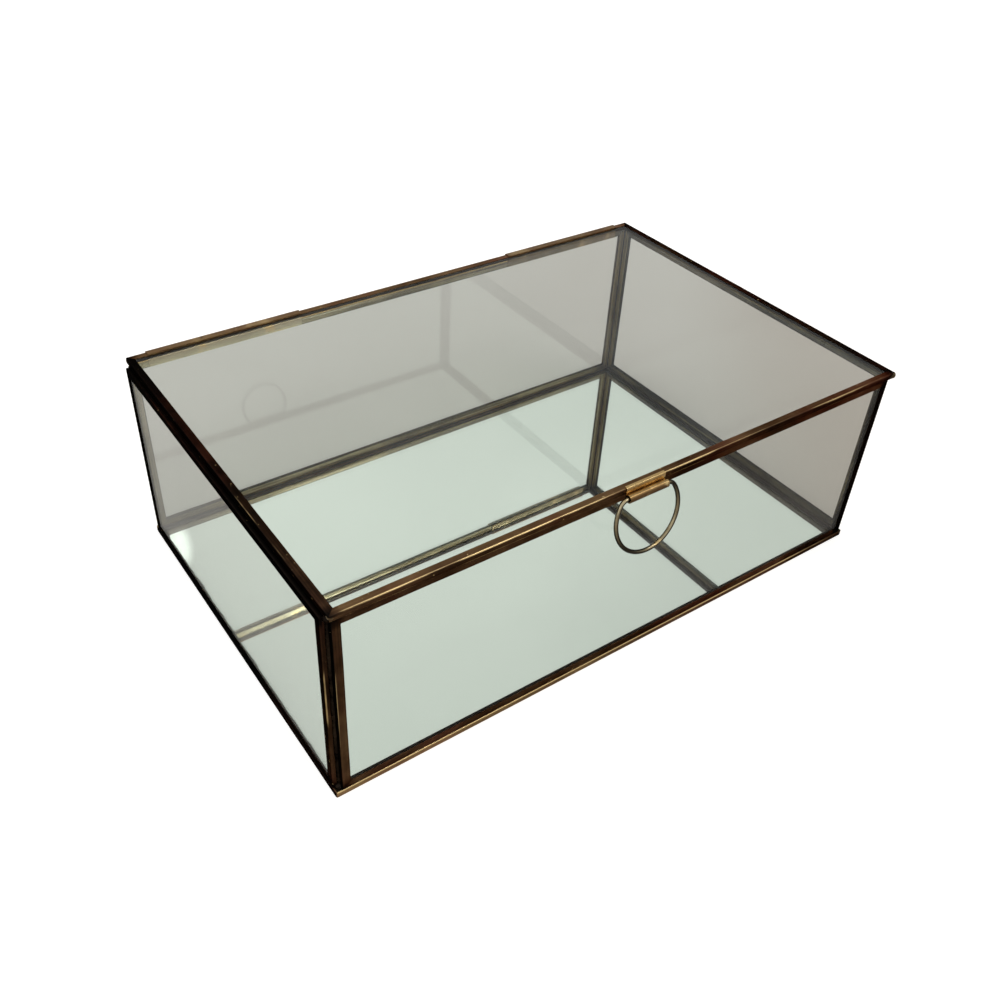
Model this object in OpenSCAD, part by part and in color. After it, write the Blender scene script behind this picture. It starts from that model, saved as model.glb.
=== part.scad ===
// Hinged glass casket. Six panes are each edged with folded brass channel, and the
// panels are soldered into a box with a mirror floor and a lid on two sleeve hinges.
// Millimetres, +Z up. The origin is on the table, in the middle of the ground that the whole
// box covers with its pull and its hinges, and the pull faces -Y.

/* [Box] */
// Length along the front
body_w = 250; // [190:1:360]
// Depth from front to back
body_d = 160; // [120:1:260]
// Height of the top edge of the walls
wall_top = 81.6; // [55:0.1:140]

/* [Glass] */
// Thickness of the clear panes
glass_t = 1.8; // [1.6:0.1:2.4]
// Thickness of the mirror in the floor
mirror_t = 2; // [1.6:0.1:3]
// Room between the edge of a pane and the fold of its channel
glass_gap = 0.4; // [0.2:0.1:0.8]

/* [Brass channel] */
// Thickness of the folded sheet
sheet = 0.3; // [0.25:0.05:0.4]
// Outside radius of the folds
fold_r = 0.5; // [0.4:0.05:0.7]
// Width of the lips on the walls and the floor
lip = 3.2; // [2.8:0.1:6]
// Width of the lips on the lid
lid_lip = 2.8; // [2.4:0.1:5]
// Radius of the outer corners of the floor and the lid
corner_r = 0.9; // [0.6:0.1:1.5]

/* [Lid] */
// Slit between the walls and the closed lid
lid_gap = 0.7; // [0.6:0.05:1.2]
// How far the lid stands out past the front wall
lid_front = 1.5; // [0.5:0.1:3]
// How far the lid stops short of the back of the box
lid_back = 0.3; // [0.2:0.1:0.6]
// How far the lid stops short of each side of the box when it is centred
lid_side = 1.2; // [1:0.1:4]
// How far the lid sits to the left of centre
lid_left = 0; // [0:0.1:0.8]

/* [Hinges] */
// Length of each hinge
hinge_len = 64; // [36:1:70]
// Distance of the middle of each hinge from the middle of the box
hinge_x = 84; // [55:1:85]
// Thickness of the hinge leaves
leaf_t = 0.35; // [0.3:0.05:0.4]
// Diameter of the hinge pin
pin_d = 1.6; // [1.4:0.1:1.8]
// Outside diameter of the knuckles
barrel_d = 2.4; // [2.3:0.1:2.6]
// Depth of the inner flange of the box leaf
leaf_drop = 3; // [2:0.1:3.2]

/* [Pull] */
// Place of the pull along the front, measured from the middle
pull_x = -6.3; // [-40:0.1:40]
// Radius of the ring to the middle of its wire
ring_r = 13.9; // [10:0.05:18]
// Diameter of the ring's wire
wire_d = 1.6; // [1.5:0.1:2.2]
// Distance from the hanger's axis down to the middle of the ring
ring_drop = 8.9; // [6:0.1:9]
// Radius of the bend where the wire turns into the hanger
bend_r = 3.7; // [3:0.1:4]
// Outside diameter of the hanger's tube
tube_d = 3; // [2.9:0.1:3.4]
// Angle at which the stiff ring stands out from plumb
ring_rest = 11; // [4:1:20]

/* [Solder] */
// Radius of the seams that join the walls at each corner
seam_r = 1; // [0.8:0.1:1.4]
// Radius of the blobs at the ends of those seams
blob_r = 2.6; // [2.4:0.1:3]
// Radius of the blobs on the corners of the lid
lid_blob_r = 2; // [1.7:0.1:2.2]

/* [Hidden] */
$fn = 48;

brass = "#8a6a35";
pale_brass = "#b08c4a";
clear = "#c8d2cb90";
silvered = "#c5d3c8";
solder = "#8b8a80";

base_t = mirror_t + 2 * sheet;
wall_t = glass_t + 2 * sheet;
wall_h = wall_top - base_t;
front_w = body_w - 2 * wall_t;
side_w = body_d - 2 * wall_t;
lid_w = body_w - 2 * lid_side;
lid_d = body_d + lid_front - lid_back;
lid_z = wall_top + lid_gap;
lid_top = lid_z + wall_t;
lid_front_y = -body_d / 2 - lid_front;
lid_back_y = body_d / 2 - lid_back;

// Hinge axis: just behind the back wall, with the knuckles' tops level with the box leaf
knuckle_gap = 0.25;
pin_play = 0.05;
axis_y = body_d / 2 + knuckle_gap + barrel_d / 2;
axis_z = wall_top + leaf_t - barrel_d / 2;
knuckle_len = hinge_len / 3;
pin_end = 0.5;
lid_leaf_lift = 0.45;

// Pull axis: the tube hangs against the face of the lid's front channel
wire_play = 0.08;
tube_end_play = 0.25;
tube_y = lid_front_y - tube_d / 2;
tube_z = lid_z - 1;
strap_t = 0.35;
strap_lip = 0.9;
bend_x = sqrt(pow(ring_r - bend_r, 2) - pow(ring_drop - bend_r, 2));
bend_angle = atan2(bend_x, ring_drop - bend_r);
tube_len = 2 * (bend_x - tube_end_play);
bend_d = wire_d + 0.1;
wire_join = 0.15;
ring_join_angle = 1;

lid_blob_under = 0.25;

// How far the middle of the box lies behind the origin, to a tenth of a millimetre
front_reach = (ring_drop + ring_r) * sin(ring_rest) + wire_d / 2 - tube_y;
back_reach = axis_y + barrel_d / 2;
box_y = round(5 * (front_reach - back_reach)) / 10;

// ---- Folded channel -------------------------------------------------------

// Cross-section of a channel: the fold is on the left, and the lips run to the right
module channel_section(reach, thick) {
    difference() {
        union() {
            translate([fold_r, 0]) square([reach - fold_r, thick]);
            translate([0, fold_r]) square([fold_r, thick - 2 * fold_r]);
            for (y = [fold_r, thick - fold_r]) translate([fold_r, y]) circle(fold_r);
        }
        translate([sheet, sheet]) square([reach, thick - 2 * sheet]);
    }
}

// Outline of a panel with its corners eased
module panel_outline(w, h, r) {
    translate([r, 0]) square([w - 2 * r, h]);
    translate([0, r]) square([w, h - 2 * r]);
    for (x = [r, w - r], y = [r, h - r]) translate([x, y]) circle(r);
}

// One length of channel along the bottom edge of a panel, mitred at both ends
module mitred_channel(w, h, reach, thick, r) {
    intersection() {
        rotate([90, 0, 90]) linear_extrude(w) channel_section(reach, thick);
        linear_extrude(thick) intersection() {
            polygon([[0, 0], [w, 0], [w - reach, reach], [reach, reach]]);
            panel_outline(w, h, r);
        }
    }
}

// The same on any edge of a panel that is w wide and h high
module edge_channel(edge, w, h, reach, thick, r) {
    if (edge == "bottom") mitred_channel(w, h, reach, thick, r);
    if (edge == "top") translate([w, h, 0]) rotate(180) mitred_channel(w, h, reach, thick, r);
    if (edge == "left") translate([0, h, 0]) rotate(-90) mitred_channel(h, w, reach, thick, r);
    if (edge == "right") translate([w, 0, 0]) rotate(90) mitred_channel(h, w, reach, thick, r);
}

// The pane inside a panel's four channels
module pane(w, h, thick) {
    inset = sheet + glass_gap;
    translate([inset, inset, sheet]) cube([w - 2 * inset, h - 2 * inset, thick]);
}

// ---- Floor ----------------------------------------------------------------

module at_base() {
    translate([-body_w / 2, -body_d / 2, 0]) children();
}

module base_channel(edge) {
    color(brass) at_base() edge_channel(edge, body_w, body_d, lip, base_t, corner_r);
}

module base_mirror() {
    color(silvered) at_base() pane(body_w, body_d, mirror_t);
}

// ---- Walls ----------------------------------------------------------------

module at_front() {
    translate([-front_w / 2, wall_t - body_d / 2, base_t]) rotate([90, 0, 0]) children();
}

module at_back() {
    translate([-front_w / 2, body_d / 2, base_t]) rotate([90, 0, 0]) children();
}

module at_left() {
    translate([-body_w / 2, -side_w / 2, base_t]) rotate([90, 0, 90]) children();
}

module at_right() {
    translate([body_w / 2 - wall_t, -side_w / 2, base_t]) rotate([90, 0, 90]) children();
}

module long_channel(edge) {
    color(brass) edge_channel(edge, front_w, wall_h, lip, wall_t, fold_r);
}

module short_channel(edge) {
    color(brass) edge_channel(edge, side_w, wall_h, lip, wall_t, fold_r);
}

module long_pane() {
    color(clear) pane(front_w, wall_h, glass_t);
}

module short_pane() {
    color(clear) pane(side_w, wall_h, glass_t);
}

// The walls' ends meet edge to edge, which leaves a square notch at each corner. A seam of
// solder runs up the notch, with a blob at the floor and one that the lid comes down on.
module corner_seam() {
    intersection() {
        union() {
            cylinder(h = wall_h, r = seam_r);
            sphere(blob_r);
            translate([0, 0, wall_h - blob_r + lid_gap / 2]) sphere(blob_r);
        }
        translate([-wall_t, -wall_t, 0]) cube([wall_t, wall_t, wall_h + lid_gap]);
    }
}

module wall_corner_solder() {
    color(solder) for (i = [0, 1], j = [0, 1]) mirror([i, 0, 0]) mirror([0, j, 0])
        translate([wall_t - body_w / 2, wall_t - body_d / 2, base_t]) corner_seam();
}

// ---- Lid ------------------------------------------------------------------

module at_lid() {
    translate([-lid_w / 2 - lid_left, lid_front_y, lid_z]) children();
}

module lid_channel(edge) {
    color(brass) at_lid() edge_channel(edge, lid_w, lid_d, lid_lip, wall_t, corner_r);
}

module lid_glass() {
    color(clear) at_lid() pane(lid_w, lid_d, glass_t);
}

// A cap of solder over each corner of the lid, with the panel itself cut out of it
module lid_corner_solder() {
    sink = lid_blob_r * 0.6;
    cap_h = wall_t + leaf_t + lid_blob_under;
    color(solder) at_lid() difference() {
        for (x = [sink, lid_w - sink], y = [sink, lid_d - sink]) intersection() {
            translate([x, y, wall_t / 2]) sphere(lid_blob_r);
            translate([x - lid_blob_r, y - lid_blob_r, -lid_blob_under])
                cube([2 * lid_blob_r, 2 * lid_blob_r, cap_h]);
        }
        cube([lid_w, lid_d, wall_t]);
    }
}

// ---- Hinges ---------------------------------------------------------------
// Every hinge profile is drawn with its depth on X and its height on Y, then run along X.

module along_x(start, length) {
    translate([start, 0, 0]) rotate([90, 0, 90]) linear_extrude(length) children();
}

// A strip of leaf sheet from one point to another, with round ends
module leaf_strip(from, to) {
    run = to - from;
    translate(from) rotate(atan2(run[1], run[0])) translate([0, -leaf_t / 2])
        square([norm(run), leaf_t]);
    for (p = [from, to]) translate(p) circle(d = leaf_t);
}

module knuckle_ring(bore_d) {
    translate([axis_y, axis_z]) difference() {
        circle(d = barrel_d);
        circle(d = bore_d);
    }
}

// Saddle over the back wall's top channel, and the two outer knuckles
module hinge_box_leaf(x) {
    back_y = body_d / 2;
    inner_y = back_y - wall_t;
    color(pale_brass) translate([x - hinge_len / 2, 0, 0]) {
        along_x(0, hinge_len) {
            translate([inner_y - leaf_t, wall_top - leaf_drop]) square([leaf_t, leaf_drop + leaf_t]);
            translate([inner_y, wall_top]) square([wall_t, leaf_t]);
        }
        for (start = [0, 2 * knuckle_len]) along_x(start, knuckle_len) {
            knuckle_ring(pin_d);
            difference() {
                translate([back_y, wall_top]) square([axis_y - back_y, leaf_t]);
                translate([axis_y, axis_z]) circle(d = pin_d);
            }
        }
    }
}

// Saddle over the lid's back channel, and the middle knuckle
module hinge_lid_leaf(x) {
    face_y = lid_back_y + leaf_t / 2;
    bend = [face_y, lid_z + lid_leaf_lift];
    top_of_roll = [axis_y, axis_z + barrel_d / 2 - leaf_t / 2];
    end_play = 0.2;
    color(pale_brass) translate([x - hinge_len / 2, 0, 0]) {
        along_x(0, hinge_len) {
            translate([lid_back_y, lid_z]) square([leaf_t, wall_t + leaf_t]);
            translate([lid_back_y - lid_lip, lid_top]) square([lid_lip, leaf_t]);
        }
        along_x(knuckle_len + end_play, knuckle_len - 2 * end_play) {
            knuckle_ring(pin_d + 2 * pin_play);
            difference() {
                leaf_strip(bend, top_of_roll);
                translate([axis_y, axis_z]) circle(d = pin_d + 2 * pin_play);
            }
        }
    }
}

module hinge_pin(x) {
    color(pale_brass) translate([x - hinge_len / 2 - pin_end, axis_y, axis_z])
        rotate([0, 90, 0]) cylinder(h = hinge_len + 2 * pin_end, d = pin_d);
}

// ---- Pull -----------------------------------------------------------------

// A strip of sheet folded over the front edge of the lid, its lower end rolled into a tube
module pull_hanger() {
    color(pale_brass) difference() {
        along_x(pull_x - tube_len / 2, tube_len) {
            translate([tube_y, tube_z]) circle(d = tube_d);
            translate([lid_front_y - strap_t, tube_z]) square([strap_t, lid_top + strap_t - tube_z]);
            translate([lid_front_y, lid_top]) square([strap_lip, strap_t]);
        }
        along_x(pull_x - tube_len / 2 - 1, tube_len + 2)
            translate([tube_y, tube_z]) circle(d = wire_d + 2 * wire_play);
    }
}

// An arc of round wire in the XY plane
module wire_arc(radius, from, sweep, d) {
    rotate(from) rotate_extrude(angle = sweep) translate([radius, 0]) circle(d = d);
}

// The ring lies in its own XY plane here: +Y is up, and the axle runs along X. The wire is a
// touch thicker where it was squeezed round the two bends, and the axle and the ring run a
// little way into them, so that it is all one piece.
module ring_flat() {
    axle = 2 * (bend_x + wire_join);
    ring_sweep = 360 - 2 * bend_angle + 2 * ring_join_angle;
    translate([-axle / 2, 0, 0]) rotate([0, 90, 0]) cylinder(h = axle, d = wire_d);
    translate([bend_x, -bend_r, 0]) wire_arc(bend_r, 90 - bend_angle, bend_angle, bend_d);
    translate([-bend_x, -bend_r, 0]) wire_arc(bend_r, 90, bend_angle, bend_d);
    translate([0, -ring_drop, 0])
        wire_arc(ring_r, 90 + bend_angle - ring_join_angle, ring_sweep, wire_d);
}

module pull_ring() {
    color(pale_brass) translate([pull_x, tube_y, tube_z]) rotate([90 - ring_rest, 0, 0]) ring_flat();
}

// ---- The box --------------------------------------------------------------

module placed() {
    translate([0, box_y, 0]) children();
}

placed() base_mirror();
placed() base_channel("bottom");  // base_channel_front
placed() base_channel("top");  // base_channel_back
placed() base_channel("left");  // base_channel_left
placed() base_channel("right");  // base_channel_right

placed() at_front() long_pane();  // front_glass
placed() at_front() long_channel("top");  // front_channel_top
placed() at_front() long_channel("bottom");  // front_channel_bottom
placed() at_front() long_channel("left");  // front_channel_left
placed() at_front() long_channel("right");  // front_channel_right

placed() at_back() long_pane();  // back_glass
placed() at_back() long_channel("top");  // back_channel_top
placed() at_back() long_channel("bottom");  // back_channel_bottom
placed() at_back() long_channel("left");  // back_channel_left
placed() at_back() long_channel("right");  // back_channel_right

placed() at_left() short_pane();  // left_glass
placed() at_left() short_channel("top");  // left_channel_top
placed() at_left() short_channel("bottom");  // left_channel_bottom
placed() at_left() short_channel("left");  // left_channel_front
placed() at_left() short_channel("right");  // left_channel_back

placed() at_right() short_pane();  // right_glass
placed() at_right() short_channel("top");  // right_channel_top
placed() at_right() short_channel("bottom");  // right_channel_bottom
placed() at_right() short_channel("left");  // right_channel_front
placed() at_right() short_channel("right");  // right_channel_back

placed() lid_glass();
placed() lid_channel("bottom");  // lid_channel_front
placed() lid_channel("top");  // lid_channel_back
placed() lid_channel("left");  // lid_channel_left
placed() lid_channel("right");  // lid_channel_right

placed() hinge_box_leaf(-hinge_x);  // left_hinge_box_leaf
placed() hinge_lid_leaf(-hinge_x);  // left_hinge_lid_leaf
placed() hinge_pin(-hinge_x);  // left_hinge_pin
placed() hinge_box_leaf(hinge_x);  // right_hinge_box_leaf
placed() hinge_lid_leaf(hinge_x);  // right_hinge_lid_leaf
placed() hinge_pin(hinge_x);  // right_hinge_pin

placed() pull_hanger();
placed() pull_ring();
placed() wall_corner_solder();
placed() lid_corner_solder();
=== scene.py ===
import math
from functools import partial

import bmesh
import bpy
from mathutils import Matrix, Vector, noise


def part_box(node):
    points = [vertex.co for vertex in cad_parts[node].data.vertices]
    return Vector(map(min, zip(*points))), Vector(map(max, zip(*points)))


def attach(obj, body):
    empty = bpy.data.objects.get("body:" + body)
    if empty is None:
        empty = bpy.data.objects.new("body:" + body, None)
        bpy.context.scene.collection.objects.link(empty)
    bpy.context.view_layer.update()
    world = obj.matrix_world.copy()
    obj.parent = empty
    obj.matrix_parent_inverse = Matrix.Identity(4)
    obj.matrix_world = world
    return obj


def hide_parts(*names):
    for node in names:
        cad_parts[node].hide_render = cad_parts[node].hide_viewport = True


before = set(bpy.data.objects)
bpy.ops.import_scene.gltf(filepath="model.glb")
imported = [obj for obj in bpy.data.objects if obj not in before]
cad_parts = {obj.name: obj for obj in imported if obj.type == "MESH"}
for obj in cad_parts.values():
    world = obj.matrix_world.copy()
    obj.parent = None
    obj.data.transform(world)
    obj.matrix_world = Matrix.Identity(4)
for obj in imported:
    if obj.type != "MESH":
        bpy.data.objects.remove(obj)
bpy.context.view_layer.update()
MM = 0.001                # the scene is in metres


# ---- Camera ---------------------------------------------------------------
# The box is seen from above its front left corner, with the long front wall to the right of
# that corner. The lens, the place and the turn were fitted to the straight edges of the box.

camera_data = bpy.data.cameras.new("camera")
camera_data.lens = 37.145
camera_data.sensor_width = 36
camera_data.shift_x = 0.0152
camera_data.shift_y = -0.00955
camera_data.clip_start = 0.01
camera = bpy.data.objects.new("camera", camera_data)
camera.location = (-0.21027, -0.26490, 0.29072)
camera.rotation_euler = (0.902543, -0.040441, -0.605953)
bpy.context.scene.collection.objects.link(camera)
bpy.context.scene.camera = camera
bpy.context.scene.view_settings.view_transform = "Standard"


# ---- Studio ---------------------------------------------------------------
# A pale floor under a pale sky that is softly darker towards the horizon. A long soft box in
# front on the right draws a line of light along the folds of the brass, and a round lamp behind
# shows in the mirror.

WHITE = (1, 1, 1, 1)


def new_tree(name):
    """A new material, its node tree with nothing else in it, and its output."""
    material = bpy.data.materials.new(name)
    material.use_nodes = True
    tree = material.node_tree
    tree.nodes.clear()
    return material, tree, tree.nodes.new("ShaderNodeOutputMaterial")


def add(tree, kind, *links, **values):
    """A new node: links join its inputs to sockets, and values set its inputs or settings."""
    node = tree.nodes.new(kind)
    for name, value in values.items():
        if hasattr(node, name):
            setattr(node, name, value)
        else:
            node.inputs[name.replace("_", " ")].default_value = value
    for place, socket in links:
        tree.links.new(socket, node.inputs[place])
    return node


def math_node(tree, operation, a, b=None, clamp=False):
    """One arithmetic node, whose inputs are sockets or plain numbers."""
    node = tree.nodes.new("ShaderNodeMath")
    node.operation = operation
    node.use_clamp = clamp
    for place, value in enumerate((a, b)):
        if value is None:
            continue
        if isinstance(value, (int, float)):
            node.inputs[place].default_value = value
        else:
            tree.links.new(value, node.inputs[place])
    return node.outputs[0]


def remap(tree, value, old, new, smooth=False):
    """A value taken from the range old to the range new."""
    node = tree.nodes.new("ShaderNodeMapRange")
    if smooth:
        node.interpolation_type = "SMOOTHSTEP"
    tree.links.new(value, node.inputs["Value"])
    for name, at in zip(("From Min", "From Max", "To Min", "To Max"), (*old, *new)):
        node.inputs[name].default_value = at
    return node.outputs[0]


def noise_value(tree, vector, scale, detail=2.0, roughness=0.5):
    """Smooth noise over vector, from 0 to 1."""
    return add(tree, "ShaderNodeTexNoise", ("Vector", vector), Scale=scale, Detail=detail,
               Roughness=roughness).outputs["Fac"]


def mixed_colour(tree, share, a, b):
    """A colour between a and b, which are sockets or plain colours."""
    node = add(tree, "ShaderNodeMix", data_type="RGBA")
    for place, value in ((0, share), (6, a), (7, b)):
        if isinstance(value, tuple):
            node.inputs[place].default_value = value
        else:
            tree.links.new(value, node.inputs[place])
    return node.outputs[2]


FLOOR_SIZE = 12
FLOOR_SINK = 0.02 * MM    # how far the floor lies below the box, so that their faces stay apart
FLOOR_COLOUR = (0.600, 0.572, 0.545, 1)
# Painted shade: the floor's colour turns darker to the right of the box.
FLOOR_SHADED_RIGHT = (0.495, 0.442, 0.405, 1)    # the floor is darker to the right of the box
RIGHT_SLANT = 0.8         # how far to the right the darker part draws back for each metre behind
RIGHT_EDGE = (0.10, 0.22)                 # where the floor starts to darken, and where it is dark
FLOOR_WHITE = 0.73        # what the camera sees over the lit floor, which brings it to white


def floor_material():
    """Pale matt paint with painted shade that darkens it on the right, and nearly white to the
    camera.
    """
    material, tree, output = new_tree("pale floor")
    place = add(tree, "ShaderNodeTexCoord").outputs["Object"]
    axes = add(tree, "ShaderNodeSeparateXYZ", (0, place)).outputs
    slant = math_node(tree, "MULTIPLY", axes["Y"], RIGHT_SLANT)
    to_right = math_node(tree, "SUBTRACT", axes["X"], slant)
    darker = remap(tree, to_right, RIGHT_EDGE, (0, 1), smooth=True)
    colour = mixed_colour(tree, darker, FLOOR_COLOUR, FLOOR_SHADED_RIGHT)
    paint = add(tree, "ShaderNodeBsdfDiffuse", ("Color", colour))
    seen = add(tree, "ShaderNodeLightPath").outputs["Is Camera Ray"]
    lift = math_node(tree, "MULTIPLY", seen, FLOOR_WHITE)
    glow = add(tree, "ShaderNodeEmission", ("Strength", lift), Color=WHITE)
    both = add(tree, "ShaderNodeAddShader", (0, paint.outputs[0]), (1, glow.outputs[0]))
    tree.links.new(both.outputs[0], output.inputs["Surface"])
    return material


half = FLOOR_SIZE / 2
floor_mesh = bpy.data.meshes.new("floor")
floor_mesh.from_pydata(
    [(-half, -half, 0), (half, -half, 0), (half, half, 0), (-half, half, 0)],
    [], [(0, 1, 2, 3)])
floor_mesh.materials.append(floor_material())
floor = bpy.data.objects.new("floor", floor_mesh)
floor.location.z = -FLOOR_SINK
bpy.context.scene.collection.objects.link(floor)

SKY_TINT = (0.98, 1, 0.985, 1)
SKY_LOW = 0.36            # brightness of the sky at the horizon
SKY_HIGH = 0.91
SKY_RISE = 0.34           # sine of the height at which the sky reaches its full brightness
SKY_LEFT = 1.16           # how much brighter the sky is on the left than overhead
SKY_RIGHT = 0.77
SKY_SIDES = (-0.7, 0.7)   # how far to the left and right that change goes on
SKY_TOP = 0.84            # how much of that brightness is left high up
TOP_EDGE = (0.61, 0.77)   # sines of the heights where the high sky begins and is full
CLOUD_SIZE = 2.3          # soft patches across the unit sphere of the sky
CLOUD_EDGE = (0.35, 0.65)
CLOUDS = 0.07             # how far soft patches in the sky go up and down from its brightness
LAMP_BEHIND = (0.174, 0.745, 0.645)
LAMP_EDGE = (0.99922, 0.99962)    # cosines of the angles where its soft edge ends and begins
LAMP_GLOW = 1.2


def studio_sky():
    """A world that lights the box with the sky and the lamp, and is plain white to the camera."""
    world = bpy.data.worlds.new("studio")
    world.use_nodes = True
    tree = world.node_tree
    tree.nodes.clear()
    output = add(tree, "ShaderNodeOutputWorld")
    direction = add(tree, "ShaderNodeTexCoord").outputs["Generated"]
    axes = add(tree, "ShaderNodeSeparateXYZ", (0, direction)).outputs
    low = remap(tree, axes["Z"], (0, SKY_RISE), (SKY_LOW, SKY_HIGH), smooth=True)
    high = remap(tree, axes["Z"], TOP_EDGE, (1, SKY_TOP), smooth=True)
    across = remap(tree, axes["X"], SKY_SIDES, (SKY_LEFT, SKY_RIGHT))
    soft = noise_value(tree, direction, CLOUD_SIZE)
    cloud = remap(tree, soft, CLOUD_EDGE, (1 - CLOUDS, 1 + CLOUDS))
    strength = math_node(tree, "MULTIPLY", low, high)
    strength = math_node(tree, "MULTIPLY", strength, across)
    strength = math_node(tree, "MULTIPLY", strength, cloud)
    towards = add(tree, "ShaderNodeVectorMath", (0, direction), operation="DOT_PRODUCT")
    towards.inputs[1].default_value = Vector(LAMP_BEHIND).normalized()
    lamp = remap(tree, towards.outputs["Value"], LAMP_EDGE, (0, LAMP_GLOW), smooth=True)
    strength = math_node(tree, "ADD", strength, lamp)
    sky = add(tree, "ShaderNodeBackground", ("Strength", strength), Color=SKY_TINT)
    white = add(tree, "ShaderNodeBackground", Color=WHITE, Strength=1)
    seen = add(tree, "ShaderNodeLightPath").outputs["Is Camera Ray"]
    shown = add(tree, "ShaderNodeMixShader", ("Fac", seen), (1, sky.outputs[0]),
                (2, white.outputs[0]))
    tree.links.new(shown.outputs[0], output.inputs["Surface"])
    return world


bpy.context.scene.world = studio_sky()

SOFT_BOX_AT = (0.54, -0.56, 1.10)
SOFT_BOX_AIM = (0, 0, 0.04)
SOFT_BOX_SIZE = (0.64, 0.13)
SOFT_BOX_GLOW = 7.5


def soft_box():
    """A rectangular soft box that faces the box."""
    lamp = bpy.data.lights.new("soft_box", "AREA")
    lamp.shape = "RECTANGLE"
    lamp.size, lamp.size_y = SOFT_BOX_SIZE
    lamp.energy = SOFT_BOX_GLOW * math.pi * lamp.size * lamp.size_y
    lamp_object = bpy.data.objects.new("soft_box", lamp)
    lamp_object.location = SOFT_BOX_AT
    aim = Vector(SOFT_BOX_AIM) - Vector(SOFT_BOX_AT)
    lamp_object.rotation_euler = aim.to_track_quat("-Z", "Y").to_euler()
    bpy.context.scene.collection.objects.link(lamp_object)


soft_box()


# ---- Panes ----------------------------------------------------------------
# Five panes of thin picture glass make the walls and the lid. The glass has a faint grey-green
# cast, and years of handling have left a thin film on it that is thicker in soft patches. The
# back pane, which faces the camera through the others, is the one that mirrors most.

GLASS_TINT = (0.955, 0.964, 0.942, 1)
GLASS_SHADOW = (0.86, 0.89, 0.86, 1)
DULL_INDEX, DULL_SHEEN = 1.25, 0.0
BRIGHT_INDEX, BRIGHT_SHEEN = 1.6, 1.0
FILM_COLOUR = (0.80, 0.79, 0.77, 1)
FILM_THIN = 0.002         # share of the pane that the film hides where it is thinnest
FILM_THICK = 0.020
FILM_PATCHES = 16         # patches of film across a metre
FILM_EDGE = (0.40, 0.70)


def lamps_pass(tree, glass, shade):
    """The glass, but clear and tinted with shade for the light of lamps."""
    shadow = add(tree, "ShaderNodeLightPath").outputs["Is Shadow Ray"]
    clear = add(tree, "ShaderNodeBsdfTransparent", Color=shade)
    return add(tree, "ShaderNodeMixShader", ("Fac", shadow), (1, glass),
               (2, clear.outputs[0])).outputs[0]


def glass_material(name, index, sheen):
    """Clear glass under a faint film. Lamps shine straight through it.

    The index sets how much it mirrors, and sheen is the share of that left when looked at square.
    """
    material, tree, output = new_tree(name)
    pane = add(tree, "ShaderNodeBsdfPrincipled", Base_Color=GLASS_TINT, Roughness=0.0,
               IOR=index, Transmission_Weight=1.0, Specular_Tint=(sheen, sheen, sheen, 1))
    place = add(tree, "ShaderNodeTexCoord").outputs["Object"]
    patches = noise_value(tree, place, FILM_PATCHES, 3.0, 0.55)
    amount = remap(tree, patches, FILM_EDGE, (FILM_THIN, FILM_THICK))
    film = add(tree, "ShaderNodeBsdfDiffuse", Color=FILM_COLOUR)
    filmed = add(tree, "ShaderNodeMixShader", ("Fac", amount), (1, pane.outputs[0]),
                 (2, film.outputs[0]))
    lit = lamps_pass(tree, filmed.outputs[0], GLASS_SHADOW)
    tree.links.new(lit, output.inputs["Surface"])
    return material


def finish_node(node, material):
    """Gives a CAD node its material."""
    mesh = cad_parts[node].data
    mesh.materials.clear()
    mesh.materials.append(material)


dull_glass = glass_material("dull glass", DULL_INDEX, DULL_SHEEN)
bright_glass = glass_material("bright glass", BRIGHT_INDEX, BRIGHT_SHEEN)
for panel in ("front", "back", "left", "right", "lid"):
    finish_node(f"{panel}_glass", bright_glass if panel == "back" else dull_glass)


# ---- Mirror floor ---------------------------------------------------------
# A sheet of picture glass, silvered on its underside, lies in the channels of the floor. Brown
# paint backs the silver, and damp has crept under the silver along its edges.

MIRROR_GLASS_INDEX = 1.5
MIRROR_SHADOW = (0.9, 0.93, 0.9, 1)
SILVER = (0.875, 0.955, 0.890, 1)
SILVER_ROUGH = 0.012
BARE_GLASS = (0.10, 0.10, 0.095, 1)       # what shows where damp has taken the silver
BACKING_PAINT = (0.16, 0.11, 0.085, 1)
CREEP_FROM = 2.3 * MM     # how far from the edge of the sheet the silver is surely gone
CREEP_WANDER = 2.0 * MM
CREEP_WAVES = 90          # waves of that edge across a metre
CREEP_FADE = 0.4 * MM     # how wide the edge between silver and bare glass is
PAINT_GRAIN = 900
UNDERSIDE = 0.1 * MM      # faces this near the bottom of the sheet are its underside


def silvering(tree, place, axes, low, high):
    """Silver behind the glass, gone along the edges of the sheet."""
    middle, half_size = (low + high) / 2, (high - low) / 2
    distances = []
    for axis, centre, half in (("X", middle.x, half_size.x), ("Y", middle.y, half_size.y)):
        off_middle = math_node(tree, "SUBTRACT", axes[axis], centre)
        away = math_node(tree, "ABSOLUTE", off_middle)
        distances.append(math_node(tree, "SUBTRACT", half, away))
    to_edge = math_node(tree, "MINIMUM", *distances)
    wander = math_node(tree, "MULTIPLY", noise_value(tree, place, CREEP_WAVES, 3), CREEP_WANDER)
    past = math_node(tree, "SUBTRACT", math_node(tree, "SUBTRACT", to_edge, CREEP_FROM), wander)
    lost = math_node(tree, "MULTIPLY", past, -1 / CREEP_FADE, clamp=True)
    silver = add(tree, "ShaderNodeBsdfPrincipled", Base_Color=SILVER, Metallic=1.0,
                 Roughness=SILVER_ROUGH)
    bare = add(tree, "ShaderNodeBsdfPrincipled", Base_Color=BARE_GLASS, Metallic=0.6,
               Roughness=0.25)
    return add(tree, "ShaderNodeMixShader", ("Fac", lost), (1, silver.outputs[0]),
               (2, bare.outputs[0])).outputs[0]


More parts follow.
